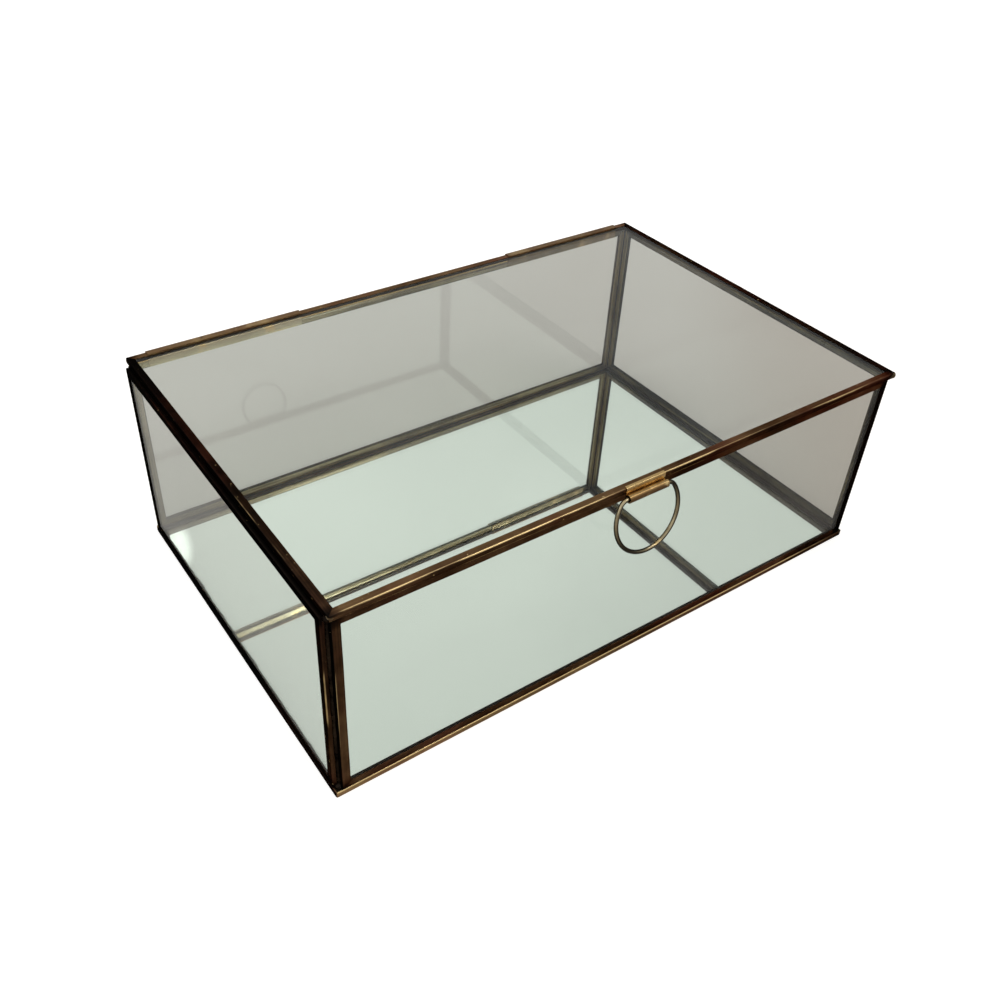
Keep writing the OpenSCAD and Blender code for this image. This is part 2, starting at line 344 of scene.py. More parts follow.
def mirror_material(low, high):
    """A sheet of glass whose underside is silver from within and paint from below."""
    material, tree, output = new_tree("mirror")
    place = add(tree, "ShaderNodeTexCoord").outputs["Object"]
    axes = add(tree, "ShaderNodeSeparateXYZ", (0, place)).outputs
    grain = noise_value(tree, place, PAINT_GRAIN, 2)
    bumps = add(tree, "ShaderNodeBump", ("Height", grain), Strength=0.25, Distance=0.1 * MM)
    paint = add(tree, "ShaderNodeBsdfPrincipled", ("Normal", bumps.outputs[0]),
                Base_Color=BACKING_PAINT, Roughness=0.55)
    from_within = add(tree, "ShaderNodeNewGeometry").outputs["Backfacing"]
    underside = add(tree, "ShaderNodeMixShader", ("Fac", from_within), (1, paint.outputs[0]),
                    (2, silvering(tree, place, axes, low, high)))
    sheet = add(tree, "ShaderNodeBsdfPrincipled", Roughness=0.0, IOR=MIRROR_GLASS_INDEX,
                Transmission_Weight=1.0, Base_Color=WHITE)
    sheet = lamps_pass(tree, sheet.outputs[0], MIRROR_SHADOW)
    low_face = math_node(tree, "LESS_THAN", axes["Z"], low.z + UNDERSIDE)
    whole = add(tree, "ShaderNodeMixShader", ("Fac", low_face), (1, sheet),
                (2, underside.outputs[0]))
    tree.links.new(whole.outputs[0], output.inputs["Surface"])
    return material


finish_node("base_mirror", mirror_material(*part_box("base_mirror")))


# ---- Brass channel --------------------------------------------------------
# Every pane is edged with four lengths of thin brass folded to a U, mitred at the corners and
# soldered. The brass has gone brown outside and grey-green inside, and painted shade makes the
# outside of the sides nearly black and darkens some lengths towards one end. Hands have worn
# it back to gold along the folds, and that gold also paints a highlight line there.

SHEET = 0.3 * MM
FOLD_R = 0.5 * MM
LIP_START = 0.15 * MM     # how far past the rounding of the fold a lip starts to bend down
LIP_POINTS = (0, 0.35, 0.7, 1)
CROWN = 0.10 * MM         # how much lower the free edge of a lip lies than its root
ALONG_STEP = 2.0 * MM     # between one cross-section and the next
BUNCHING = 0.95           # how much closer together they lie at the ends, where 1 is touching
UNEVEN = 0.06 * MM
DENT = 0.3                # depth of the dents in a lip, as a share of its unevenness
HARD_CORNER = math.radians(50)
CORNER_CUT = 1 - math.sqrt(0.5)    # how far a rounding takes off a right angle's tip, in radii

# Waves along the channels: how many in a metre, and where each starts
LOWER_WAVE, UPPER_WAVE = (55, 3.1), (47, 21.7)
WEB_WAVE, DENT_WAVE = (34, 41.9), (60, 63.2)

# How deep the fold reaches, and how near the outer faces its points belong to the lips
FOLD_DEPTH = 0.8 * FOLD_R
FOLD_FACE = 0.2 * FOLD_R
SCORCHED = (0.8 * MM, 5 * MM)      # how far from its ends the heat of soldering darkened it
SCORCH = 0.3


def arc(centre, radius, start, end, steps=4):
    """Points on an arc, with angles in degrees."""
    angles = [math.radians(start + (end - start) * i / steps) for i in range(steps + 1)]
    return [(centre[0] + radius * math.cos(a), centre[1] + radius * math.sin(a)) for a in angles]


def channel_outline(reach, thick):
    """The U of a channel: depth from the fold, and height across the panel."""
    root = FOLD_R + LIP_START
    inner_r = FOLD_R - SHEET
    low, high = FOLD_R, thick - FOLD_R
    half_reach = reach / 2
    crowned = [(root + (reach - root) * f, CROWN * f * f) for f in LIP_POINTS]
    outside = crowned[::-1] + arc((FOLD_R, low), FOLD_R, 270, 180) + [(0, thick / 2)]
    outside += arc((FOLD_R, high), FOLD_R, 180, 90)
    outside += [(depth, thick - drop) for depth, drop in crowned]
    top = thick - SHEET
    within = [(reach, top), (half_reach, top)] + arc((FOLD_R, high), inner_r, 90, 180, 2)
    within += arc((FOLD_R, low), inner_r, 180, 270, 2) + [(half_reach, SHEET), (reach, SHEET)]
    return outside + within


def poly_curve(name, points):
    """A closed curve of straight lines through points."""
    curve = bpy.data.curves.new(name, "CURVE")
    curve.dimensions = "3D"
    line = curve.splines.new("POLY")
    line.points.add(len(points) - 1)
    for point, place in zip(line.points, points):
        point.co = (*place, *(0,) * (3 - len(place)), 1)
    line.use_cyclic_u = True
    curve_object = bpy.data.objects.new(name, curve)
    bpy.context.scene.collection.objects.link(curve_object)
    return curve_object


def start_group(name, sockets):
    """A Geometry Nodes tree with these inputs, and its group input and output."""
    tree = bpy.data.node_groups.new(name, "GeometryNodeTree")
    for label, kind in sockets.items():
        tree.interface.new_socket(label, in_out="INPUT", socket_type=f"NodeSocket{kind}")
    tree.interface.new_socket("Geometry", in_out="OUTPUT", socket_type="NodeSocketGeometry")
    return tree, tree.nodes.new("NodeGroupInput").outputs, tree.nodes.new("NodeGroupOutput")


def kept(tree, name, geometry, value):
    """The geometry with a value stored on its points."""
    node = add(tree, "GeometryNodeStoreNamedAttribute", ("Geometry", geometry),
               ("Value", value), data_type="FLOAT", domain="POINT")
    node.inputs["Name"].default_value = name
    return node.outputs[0]


def stored(tree, name):
    """A value stored on the geometry's points."""
    node = add(tree, "GeometryNodeInputNamedAttribute", data_type="FLOAT")
    node.inputs["Name"].default_value = name
    return node.outputs[0]


def end_group(tree, geometry, material, result):
    """Smooth faces with hard corners, real geometry and the material."""
    smooth = add(tree, "GeometryNodeSetShadeSmooth", ("Geometry", geometry))
    turn = add(tree, "GeometryNodeInputMeshEdgeAngle")
    soft = math_node(tree, "LESS_THAN", turn.outputs[0], HARD_CORNER)
    edges = add(tree, "GeometryNodeSetShadeSmooth", ("Geometry", smooth.outputs[0]),
                ("Shade Smooth", soft), domain="EDGE")
    real = add(tree, "GeometryNodeRealizeInstances", ("Geometry", edges.outputs[0]))
    made = add(tree, "GeometryNodeSetMaterial", ("Geometry", real.outputs[0]),
               ("Material", material))
    tree.links.new(made.outputs[0], result.inputs[0])


def drawn_channel(tree, given):
    """The outline run along the length, with the place in it stored on its points."""
    calc = partial(math_node, tree)
    outline = add(tree, "GeometryNodeObjectInfo", ("Object", given["Outline"]))
    here = add(tree, "GeometryNodeInputPosition").outputs[0]
    flat = add(tree, "ShaderNodeSeparateXYZ", (0, here))
    section = kept(tree, "depth", outline.outputs["Geometry"], flat.outputs["X"])
    section = kept(tree, "across", section, flat.outputs["Y"])
    end = add(tree, "ShaderNodeCombineXYZ", ("X", given["Length"]))
    line = add(tree, "GeometryNodeCurvePrimitiveLine", ("End", end.outputs[0]))
    count = calc("ADD", calc("DIVIDE", given["Length"], given["Step"]), 2)
    path = add(tree, "GeometryNodeResampleCurve", ("Curve", line.outputs[0]), ("Count", count))

    # Cross-sections lie closer together towards the ends, where the corners are rounded
    fraction = add(tree, "GeometryNodeSplineParameter").outputs["Factor"]
    turn = calc("SINE", calc("MULTIPLY", fraction, math.tau))
    fraction = calc("SUBTRACT", fraction, calc("MULTIPLY", turn, BUNCHING / math.tau))
    path = kept(tree, "fraction", path.outputs[0], fraction)
    along = calc("MULTIPLY", stored(tree, "fraction"), given["Length"])
    path = kept(tree, "along", path, along)
    strip = add(tree, "GeometryNodeCurveToMesh", ("Curve", path), ("Profile Curve", section))
    strip.inputs["Fill Caps"].default_value = True
    return add(tree, "GeometryNodeFlipFaces", ("Mesh", strip.outputs[0])).outputs[0]


def wave(tree, seed, scale, phase):
    """A smooth value from about -1 to 1 that drifts along the channel."""
    calc = partial(math_node, tree)
    point = add(tree, "ShaderNodeCombineXYZ",
                ("X", calc("MULTIPLY", stored(tree, "along"), scale)),
                ("Y", calc("ADD", seed, phase)))
    level = noise_value(tree, point.outputs[0], 1, 1)
    return calc("MULTIPLY", calc("SUBTRACT", level, 0.5), 3)


def uneven_section(tree, given, deep, high, upper):
    """Depth and height with wandering free edges, a web not quite flat and lips pressed in."""
    calc = partial(math_node, tree)
    seed = given["Seed"]
    lower = calc("SUBTRACT", 1, upper)
    share = calc("DIVIDE", deep, given["Reach"])
    edge = calc("ADD", calc("MULTIPLY", wave(tree, seed, *LOWER_WAVE), lower),
                calc("MULTIPLY", wave(tree, seed, *UPPER_WAVE), upper))
    web = calc("ABSOLUTE", wave(tree, seed, *WEB_WAVE))
    web = calc("MULTIPLY", web, calc("SUBTRACT", 1, share))
    shift = calc("ADD", calc("MULTIPLY", edge, share), web)
    dent = calc("ABSOLUTE", wave(tree, seed, *DENT_WAVE))
    dent = calc("MULTIPLY", dent, calc("MULTIPLY", share, DENT))
    dent = calc("MULTIPLY", dent, calc("SUBTRACT", lower, upper))
    return (calc("ADD", deep, calc("MULTIPLY", shift, given["Unevenness"])),
            calc("ADD", high, calc("MULTIPLY", dent, given["Unevenness"])))


def mitred_ends(tree, given, deep, new_deep):
    """Place along the channel, depth with the panel's corner rounded, and distance to the end."""
    calc = partial(math_node, tree)
    length, radius = given["Length"], given["Corner Radius"]
    tip = calc("MULTIPLY", radius, CORNER_CUT)
    start = calc("MAXIMUM", deep, tip)
    run = calc("SUBTRACT", length, calc("MULTIPLY", start, 2))
    along = calc("ADD", start, calc("MULTIPLY", stored(tree, "fraction"), run))
    to_end = calc("MINIMUM", along, calc("SUBTRACT", length, along))
    inner = calc("SUBTRACT", radius, calc("MINIMUM", to_end, radius))
    square = calc("SUBTRACT", calc("MULTIPLY", radius, radius), calc("MULTIPLY", inner, inner))
    rounded = calc("SUBTRACT", radius, calc("SQRT", calc("MAXIMUM", square, 0)))
    return along, calc("MAXIMUM", new_deep, rounded), to_end


def tarnished_and_shaded(tree, given, geometry, deep, high, upper, to_end):
    """Stores the tarnish with its painted shade, and which points are inside, near a ridge or near
    a free edge.
    """
    calc = partial(math_node, tree)
    thick = given["Thickness"]
    lower = calc("SUBTRACT", 1, upper)
    on_fold = calc("LESS_THAN", deep, FOLD_DEPTH)
    faces = calc("MAXIMUM", calc("LESS_THAN", high, FOLD_FACE),
                 calc("GREATER_THAN", high, calc("SUBTRACT", thick, FOLD_FACE)))
    on_web = calc("MULTIPLY", on_fold, calc("SUBTRACT", 1, faces))
    lips = add(tree, "ShaderNodeMix", ("Factor", upper), ("A", given["Tarnish Inside"]),
               ("B", given["Tarnish Outside"]))
    tarnish_and_shade = add(tree, "ShaderNodeMix", ("Factor", on_web), ("A", lips.outputs[0]),
                  ("B", given["Tarnish Fold"]))
    # Painted shade: the drift darkens a length towards one end.
    drift = calc("MULTIPLY", calc("SUBTRACT", stored(tree, "fraction"), 0.5),
                 given["Tarnish Drift"])
    scorch = remap(tree, to_end, SCORCHED, (SCORCH, 0))
    scorch = calc("MULTIPLY", scorch, calc("SUBTRACT", 1, lower))
    drift = calc("ADD", drift, scorch)
    nearer = calc("MINIMUM", high, calc("SUBTRACT", thick, high))
    ridge = calc("ADD", calc("MULTIPLY", deep, deep), calc("MULTIPLY", nearer, nearer))
    for name, value in (("tarnish_and_shade", calc("ADD", tarnish_and_shade.outputs[0], drift)),
                        ("inside", calc("MULTIPLY", lower, calc("SUBTRACT", 1, on_fold))),
                        ("ridge", calc("SQRT", ridge)),
                        ("edge", calc("SUBTRACT", given["Reach"], deep))):
        geometry = kept(tree, name, geometry, value)
    return geometry


def channel_tree():
    """Runs the outline along a length, mitres the ends and makes it a little uneven."""
    # The tarnish inputs carry painted shade as well as tarnish.
    tree, given, result = start_group("folded channel", {
        "Outline": "Object", "Length": "Float", "Reach": "Float", "Thickness": "Float",
        "Step": "Float", "Corner Radius": "Float", "Unevenness": "Float", "Seed": "Float",
        "Tarnish Outside": "Float", "Tarnish Inside": "Float", "Tarnish Fold": "Float",
        "Tarnish Drift": "Float", "Brass": "Material"})
    strip = drawn_channel(tree, given)
    deep, high = stored(tree, "depth"), stored(tree, "across")
    half_thick = math_node(tree, "MULTIPLY", given["Thickness"], 0.5)
    upper = math_node(tree, "GREATER_THAN", high, half_thick)
    new_deep, new_high = uneven_section(tree, given, deep, high, upper)
    along, new_deep, to_end = mitred_ends(tree, given, deep, new_deep)
    place = add(tree, "ShaderNodeCombineXYZ", ("X", along), ("Y", new_deep), ("Z", new_high))
    moved = add(tree, "GeometryNodeSetPosition", ("Geometry", strip),
                ("Position", place.outputs[0])).outputs[0]
    moved = tarnished_and_shaded(tree, given, moved, deep, high, upper, to_end)
    end_group(tree, moved, given["Brass"], result)
    return tree


def ramp_colour(tree, value, steps):
    """A colour ramp over value."""
    ramp = add(tree, "ShaderNodeValToRGB", ("Fac", value))
    points = ramp.color_ramp.elements
    while len(points) < len(steps):
        points.new(0.5)
    for point, (at, colour) in zip(points, steps):
        point.position = at
        point.color = (*colour, 1)
    return ramp.outputs["Color"]


GOLD = (0.80, 0.58, 0.28, 1)
PALE_GOLD = (0.62, 0.55, 0.40, 1)
PAINTED_RIM_SHADE = (0.012, 0.010, 0.008, 1)

# Colours of the brass from clean to black: outside, where it has gone red, inside, and on wire
BRONZE_STEPS = ((0.0, (0.62, 0.43, 0.19)), (0.25, (0.36, 0.225, 0.09)),
                (0.45, (0.20, 0.115, 0.052)), (0.65, (0.095, 0.051, 0.027)),
                (0.83, (0.030, 0.017, 0.011)), (1.0, (0.009, 0.0072, 0.0062)))
RED_STEPS = ((0.0, (0.55, 0.32, 0.16)), (0.4, (0.23, 0.092, 0.048)),
             (0.7, (0.098, 0.036, 0.024)), (1.0, (0.012, 0.007, 0.006)))
INNER_STEPS = ((0.0, (0.66, 0.59, 0.44)), (0.35, (0.32, 0.255, 0.150)),
               (0.6, (0.130, 0.100, 0.055)), (1.0, (0.014, 0.0125, 0.009)))
RING_STEPS = ((0.0, (0.72, 0.62, 0.44)), (0.35, (0.42, 0.345, 0.215)),
              (0.6, (0.15, 0.115, 0.065)), (1.0, (0.020, 0.016, 0.011)))

# How many lines, patches and specks of each kind there are across a metre of brass
DRAWN_ALONG, DRAWN_ACROSS = 14, 1500
ROLLED_LINES = (60, 2600, 2600)
PATCHES, WIDE_PATCHES = 55, 11
RED_PATCHES, RUBBED_PATCHES, SPECKS = 31, 38, 700

# How much the lines, the patches and the wide patches lighten and darken it
LINES_OUTSIDE, LINES_INSIDE, LINES_ROLLED = 0.3, 1.4, 0.25
PATCHES_SHOW, WIDE_PATCHES_SHOW = 0.55, 0.4
EDGE_SHADE = 0.4               # how much painted shade darkens the ridges and free edges inside
DARKER = 0.4              # how much darker a piece is below the height where it darkens

# Where each of these begins and where it is full
RIDGE_WIDTH, EDGE_WIDTH = (0.55 * MM, 0.22 * MM), (0.42 * MM, 0.12 * MM)
RED_RANGE, RUBBED_RANGE, WORN_RANGE = (0.48, 0.64), (0.40, 0.60), (0.46, 0.36)
SPECK_RANGE, TURNED_RANGE, DULL_RANGE = (0.75, 0.81), (0.05, 0.42), (0.25, 0.80)
RUBBED_LEVEL = 0.68       # tarnish at which half of the brass is rubbed bright
SPECK_SHINE = 0.7
POLISH = 0.06             # how much smoother the brass is where it is worn
DULL_LEFT = 0.10          # brightness left at a low angle where it is dark


def brass_material(name, fixed_tarnish=None, roughness=(0.22, 0.42), steps=BRONZE_STEPS,
                   red=0.65, rim=1.0, worn=1.0, darker_below=None):
    """Brass that its tarnish and painted shade darken, with gold on its ridges from wear and a
    painted highlight.

    Folded channel carries its own tarnish with painted shade, place and ridge. Other brass has an
    even tarnish, which may get darker below a height. A rim under 1 paints shade on the metal
    where it turns away from the camera.
    """
    material, tree, output = new_tree(name)
    calc = partial(math_node, tree)

    def carried(attribute):
        return add(tree, "ShaderNodeAttribute", attribute_name=attribute).outputs["Fac"]

    def centred(value, weight):
        return calc("MULTIPLY", calc("SUBTRACT", value, 0.5), weight)

    place = add(tree, "ShaderNodeTexCoord").outputs["Object"]
    if fixed_tarnish is None:
        line_at = add(tree, "ShaderNodeCombineXYZ",
                      ("X", calc("MULTIPLY", carried("along"), DRAWN_ALONG)),
                      ("Y", calc("MULTIPLY", carried("depth"), DRAWN_ACROSS)),
                      ("Z", calc("MULTIPLY", carried("across"), DRAWN_ACROSS))).outputs[0]
        tarnish_and_shade = carried("tarnish_and_shade")
        inner = carried("inside")
        lines_show = calc("ADD", calc("MULTIPLY", inner, LINES_INSIDE), LINES_OUTSIDE)
    else:
        stretch = add(tree, "ShaderNodeMapping", ("Vector", place))
        stretch.inputs["Scale"].default_value = ROLLED_LINES
        line_at = stretch.outputs[0]
        tarnish_and_shade = fixed_tarnish
        if darker_below:
            height = add(tree, "ShaderNodeSeparateXYZ", (0, place)).outputs["Z"]
            tarnish_and_shade = remap(tree, height, darker_below, (tarnish_and_shade + DARKER, tarnish_and_shade), smooth=True)
        lines_show = LINES_ROLLED

    # How dark it is: tarnish with its painted shade, in patches and along the lines, and painted
    # shade on the inner edges
    lines = noise_value(tree, line_at, 1, 3, 0.6)
    patches = noise_value(tree, place, PATCHES, 5, 0.65)
    wide_patches = noise_value(tree, place, WIDE_PATCHES, 2)
    dark = calc("ADD", centred(patches, PATCHES_SHOW), tarnish_and_shade)
    dark = calc("ADD", dark, centred(lines, lines_show))
    dark = calc("ADD", dark, centred(wide_patches, WIDE_PATCHES_SHOW), clamp=True)
    if fixed_tarnish is None:
        ridge = remap(tree, carried("ridge"), RIDGE_WIDTH, (0, 1), smooth=True)
        free_edge = remap(tree, carried("edge"), EDGE_WIDTH, (0, 1), smooth=True)
        # Painted shade in the inner creases: the ridges and free edges of the inner lips are
        # darkened.
        edge_shade = calc("MULTIPLY", calc("MAXIMUM", ridge, free_edge), calc("MULTIPLY", inner, EDGE_SHADE))
        dark = calc("ADD", dark, edge_shade, clamp=True)

    # Its colour, with red patches, and gold where it is rubbed and in specks, which on the outer
    # ridges of channel is also a painted highlight
    redness = remap(tree, noise_value(tree, place, RED_PATCHES, 3), RED_RANGE, (0, red),
                    smooth=True)
    colour = mixed_colour(tree, redness, ramp_colour(tree, dark, steps),
                          ramp_colour(tree, dark, RED_STEPS))
    rubbed = calc("ADD", noise_value(tree, place, RUBBED_PATCHES, 3),
                  calc("SUBTRACT", RUBBED_LEVEL, tarnish_and_shade))
    rubbed = remap(tree, rubbed, RUBBED_RANGE, (0, 1), smooth=True)
    gold = GOLD
    if fixed_tarnish is None:
        colour = mixed_colour(tree, inner, colour, ramp_colour(tree, dark, INNER_STEPS))
        gold = mixed_colour(tree, inner, GOLD, PALE_GOLD)
        # Painted highlight with the wear: gold along the outer ridges of the folds.
        wear_and_highlight = calc("MULTIPLY", ridge, calc("SUBTRACT", 1, inner))
    else:
        wear_and_highlight = remap(tree, patches, WORN_RANGE, (0, worn), smooth=True)
    specks = remap(tree, noise_value(tree, place, SPECKS, 1), SPECK_RANGE, (0, SPECK_SHINE))
    wear_and_highlight = calc("MAXIMUM", calc("MULTIPLY", wear_and_highlight, rubbed), specks)
    colour = mixed_colour(tree, wear_and_highlight, colour, gold)
    # Painted shade: where rim is under 1 the metal is darkened as it turns away from the camera,
    # drawing a dark outline.
    if rim < 1:
        turned_shade = add(tree, "ShaderNodeLayerWeight", Blend=0.5).outputs["Facing"]
        turned_shade = remap(tree, turned_shade, TURNED_RANGE, (0, 1 - rim), smooth=True)
        colour = mixed_colour(tree, turned_shade, colour, PAINTED_RIM_SHADE)

    # Its surface, which is duller and less bright at a low angle where it is dark
    rough = remap(tree, dark, (0, 1), roughness)
    rough = calc("SUBTRACT", rough, calc("MULTIPLY", wear_and_highlight, POLISH))
    low_angle = remap(tree, dark, DULL_RANGE, (1.0, DULL_LEFT))
    drawn = add(tree, "ShaderNodeBump", ("Height", lines), Strength=0.2, Distance=0.05 * MM)
    dents = add(tree, "ShaderNodeBump", ("Height", patches), ("Normal", drawn.outputs[0]),
                Strength=0.3, Distance=0.4 * MM)
    brass = add(tree, "ShaderNodeBsdfPrincipled", ("Base Color", colour), ("Roughness", rough),
                ("Specular Tint", low_angle), ("Normal", dents.outputs[0]), Metallic=1.0)
    tree.links.new(brass.outputs[0], output.inputs["Surface"])
    return material


aged_brass = brass_material("aged brass")
folding = channel_tree()

# How dark the outer lip, the inner lip and the fold of each panel's channels are, from tarnish and
# from painted shade that makes the sides nearly black, then the lengths that differ from the rest
# of their panel, and those that darken along their length, which is painted shade too
PANELS = {
    "base": (0.60, 0.56, 0.42), "front": (0.68, 0.66, 0.90), "back": (0.70, 0.56, 0.70),
    "left": (1.0, 0.56, 1.0), "right": (0.95, 0.86, 0.95), "lid": (0.58, 0.66, 0.60),
}
UNLIKE = {
    "base_left": (0.8, 0.62, 1.0), "base_right": (0.8, 0.82, 0.95), "base_back": (0.6, 0.6, 0.7),
    "lid_left": (0.92, 0.7, 1.05), "lid_right": (0.90, 0.85, 0.95),
    "lid_back": (0.50, 0.45, 0.50), "lid_front": (0.60, 0.66, 0.74),
    "front_left": (0.70, 0.66, 1.05), "front_right": (0.88, 0.7, 1.0),
    "left_front": (0.86, 0.56, 0.80), "left_top": (1.0, 0.62, 1.05),
    "back_top": (0.7, 0.44, 0.62), "back_right": (0.7, 0.40, 0.7),
    "right_top": (0.95, 0.80, 0.95), "right_back": (0.95, 0.6, 0.95),
}
DRIFT = {"base_front": -0.5, "lid_front": 0.10, "back_top": 0.4, "lid_left": -0.35}
LYING_EDGES = ("front", "back", "left", "right")
STANDING_EDGES = {
    "front": ("top", "bottom", "left", "right"), "back": ("top", "bottom", "left", "right"),
    "left": ("top", "bottom", "front", "back"), "right": ("top", "bottom", "front", "back"),
}
PANEL_CORNER = {"base": 1.3 * MM, "lid": 0.9 * MM}
WALL_CORNER = 0.5 * MM
BOX_MIDDLE = (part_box("base_mirror")[0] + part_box("lid_glass")[1]) / 2


def channel_place(node, pane):
    """Turns a channel from its own axes, along, depth and outward, to its place on the box."""
    low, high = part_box(node)
    pane_low, pane_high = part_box(pane)
    size, pane_size = high - low, pane_high - pane_low
    thin = min(range(3), key=lambda i: pane_size[i])
    along = max((i for i in range(3) if i != thin), key=lambda i: size[i])
    deep = 3 - thin - along
    middle, pane_middle = (low + high) / 2, (pane_low + pane_high) / 2
    outward, inward = Vector(), Vector()
    outward[thin] = 1 if pane_middle[thin] > BOX_MIDDLE[thin] else -1
    inward[deep] = 1 if middle[deep] < pane_middle[deep] else -1
    forward = inward.cross(outward)
    start = Vector()
    for axis in (forward, inward, outward):
        i = max(range(3), key=lambda k: abs(axis[k]))
        start[i] = low[i] if axis[i] > 0 else high[i]
    turn = Matrix((forward, inward, outward)).transposed().to_4x4()
    return Matrix.Translation(start) @ turn, size[along], size[deep], size[thin]


def made_by(tree, name, **inputs):
    """The plain mesh that a node tree makes with these inputs."""
    source = bpy.data.objects.new(name, bpy.data.meshes.new(name))
    bpy.context.scene.collection.objects.link(source)
    modifier = source.modifiers.new("make", "NODES")
    modifier.node_group = tree
    sockets = {s.name: s.identifier for s in tree.interface.items_tree if s.in_out == "INPUT"}
    for label, value in inputs.items():
        modifier[sockets[label.replace("_", " ")]] = value
    view = bpy.context.evaluated_depsgraph_get()
    mesh = bpy.data.meshes.new_from_object(source.evaluated_get(view))
    source.modifiers.clear()
    source.data = mesh
    return source


def stand_for(piece, body, slot, *nodes):
    """The piece stands for CAD nodes and moves with a body. Its slot is not used."""
    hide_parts(*nodes)
    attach(piece, body)


outlines = {}
for number, (panel, tarnish_and_shade) in enumerate(PANELS.items()):
    pane = "base_mirror" if panel == "base" else f"{panel}_glass"
    for turn, edge in enumerate(STANDING_EDGES.get(panel, LYING_EDGES)):
        node = f"{panel}_channel_{edge}"
        place, length, reach, thick = channel_place(node, pane)
        shape = (round(reach / MM, 2), round(thick / MM, 2))
        if shape not in outlines:
            outlines[shape] = poly_curve("outline", channel_outline(reach, thick))
        outer, inner, fold = UNLIKE.get(f"{panel}_{edge}", tarnish_and_shade)
        corner = PANEL_CORNER.get(panel, WALL_CORNER)
        short = 2 * corner * CORNER_CUT
        piece = made_by(folding, f"{panel}_{edge}_channel", Outline=outlines[shape],
                        Length=length + short, Reach=reach, Thickness=thick, Step=ALONG_STEP,
                        Corner_Radius=corner, Unevenness=UNEVEN,
                        Seed=7.0 * number + 1.9 * turn, Tarnish_Outside=outer,
                        Tarnish_Inside=inner, Tarnish_Fold=fold,
                        Tarnish_Drift=DRIFT.get(f"{panel}_{edge}", 0.0), Brass=aged_brass)
        piece.data.transform(place @ Matrix.Translation((-short / 2, 0, 0)))
        stand_for(piece, "lid" if panel == "lid" else "box", "aged_brass", node)
for outline in outlines.values():
    bpy.data.objects.remove(outline)


# ---- Solder ---------------------------------------------------------------
# The walls meet edge to edge, and a thin bead of solder runs up the notch at each corner, with
# a blob at each end. More solder caps the corners of the lid. It was darkened with the brass.

SOLDER_STEPS = ((0.0, (0.42, 0.33, 0.19)), (0.35, (0.17, 0.12, 0.062)),
                (0.7, (0.045, 0.030, 0.019)), (1.0, (0.010, 0.008, 0.007)))
PALE_PATCHES, SOLDER_PITS = 240, 1500     # across a metre
PALE_RANGE = (0.32, 0.62)
SOLDER_ROUGH = (0.25, 0.5)
GRAIN = 0.25 * MM         # size of the faces of a lump
SOFTEN, SOFTEN_TIMES = 0.6, 8
LUMP_WAVE = 1.3 * MM
CUT_SLACK = 1e-7
SINK = 0.1 * MM           # how far solder reaches into the metal that it is on


def solder_material(name, shades):
    """Dull solder, darkened with the brass, that is paler in patches. Shades go from 0 to 1."""
    material, tree, output = new_tree(name)
    place = add(tree, "ShaderNodeTexCoord").outputs["Object"]
    dark = remap(tree, noise_value(tree, place, PALE_PATCHES, 4, 0.6), PALE_RANGE, shades)
    fine = noise_value(tree, place, SOLDER_PITS, 3)
    dents = add(tree, "ShaderNodeBump", ("Height", fine), Strength=0.4, Distance=0.06 * MM)
    metal = add(tree, "ShaderNodeBsdfPrincipled",
                ("Base Color", ramp_colour(tree, dark, SOLDER_STEPS)),
                ("Roughness", remap(tree, fine, (0, 1), SOLDER_ROUGH)),
                ("Specular Tint", remap(tree, dark, (0.3, 1), (1.0, 0.2))),
                ("Normal", dents.outputs[0]), Metallic=1.0)
    tree.links.new(metal.outputs[0], output.inputs["Surface"])
    return material


def skin_over(name, balls):
    """One closed smooth skin over overlapping balls."""
    mesh = bmesh.new()
    for centre, radius in balls:
        bmesh.ops.create_icosphere(mesh, subdivisions=2, radius=radius,
                                   matrix=Matrix.Translation(centre))
    data = bpy.data.meshes.new(name)
    mesh.to_mesh(data)
    mesh.free()
    piece = bpy.data.objects.new(name, data)
    bpy.context.scene.collection.objects.link(piece)
    skin = piece.modifiers.new("skin", "REMESH")
    skin.mode = "VOXEL"
    skin.voxel_size = GRAIN
    soften = piece.modifiers.new("soften", "SMOOTH")
    soften.factor = SOFTEN
    soften.iterations = SOFTEN_TIMES
    view = bpy.context.evaluated_depsgraph_get()
    data = bpy.data.meshes.new_from_object(piece.evaluated_get(view))
    piece.modifiers.clear()
    piece.data = data
    return piece


def cut_flat(data, low, high):
    """Cuts a closed mesh flat at the six sides of a box and closes the cuts."""
    mesh = bmesh.new()
    mesh.from_mesh(data)
    for corner, side in ((low, -1), (high, 1)):
        for axis in range(3):
            normal = Vector()
            normal[axis] = side
            cut = bmesh.ops.bisect_plane(mesh, geom=[*mesh.verts, *mesh.edges, *mesh.faces],
                                         dist=CUT_SLACK, plane_co=corner, plane_no=normal,
                                         clear_outer=True)
            rim = [e for e in cut["geom_cut"] if isinstance(e, bmesh.types.BMEdge)]
            if rim:
                bmesh.ops.holes_fill(mesh, edges=rim)
    bmesh.ops.triangulate(mesh, faces=[f for f in mesh.faces if len(f.verts) > 4])
    mesh.to_mesh(data)
    mesh.free()


def lump(name, balls, low, high, material, unevenness):
    """One smooth uneven lump over overlapping balls, cut flat at the sides of a box."""
    piece = skin_over(name, balls)
    data = piece.data
    moves = [v.normal * noise.noise(v.co / LUMP_WAVE) * unevenness for v in data.vertices]
    for vertex, move in zip(data.vertices, moves):
        vertex.co += move
    for face in data.polygons:
        face.use_smooth = True
    cut_flat(data, low, high)
    data.materials.append(material)
    return piece


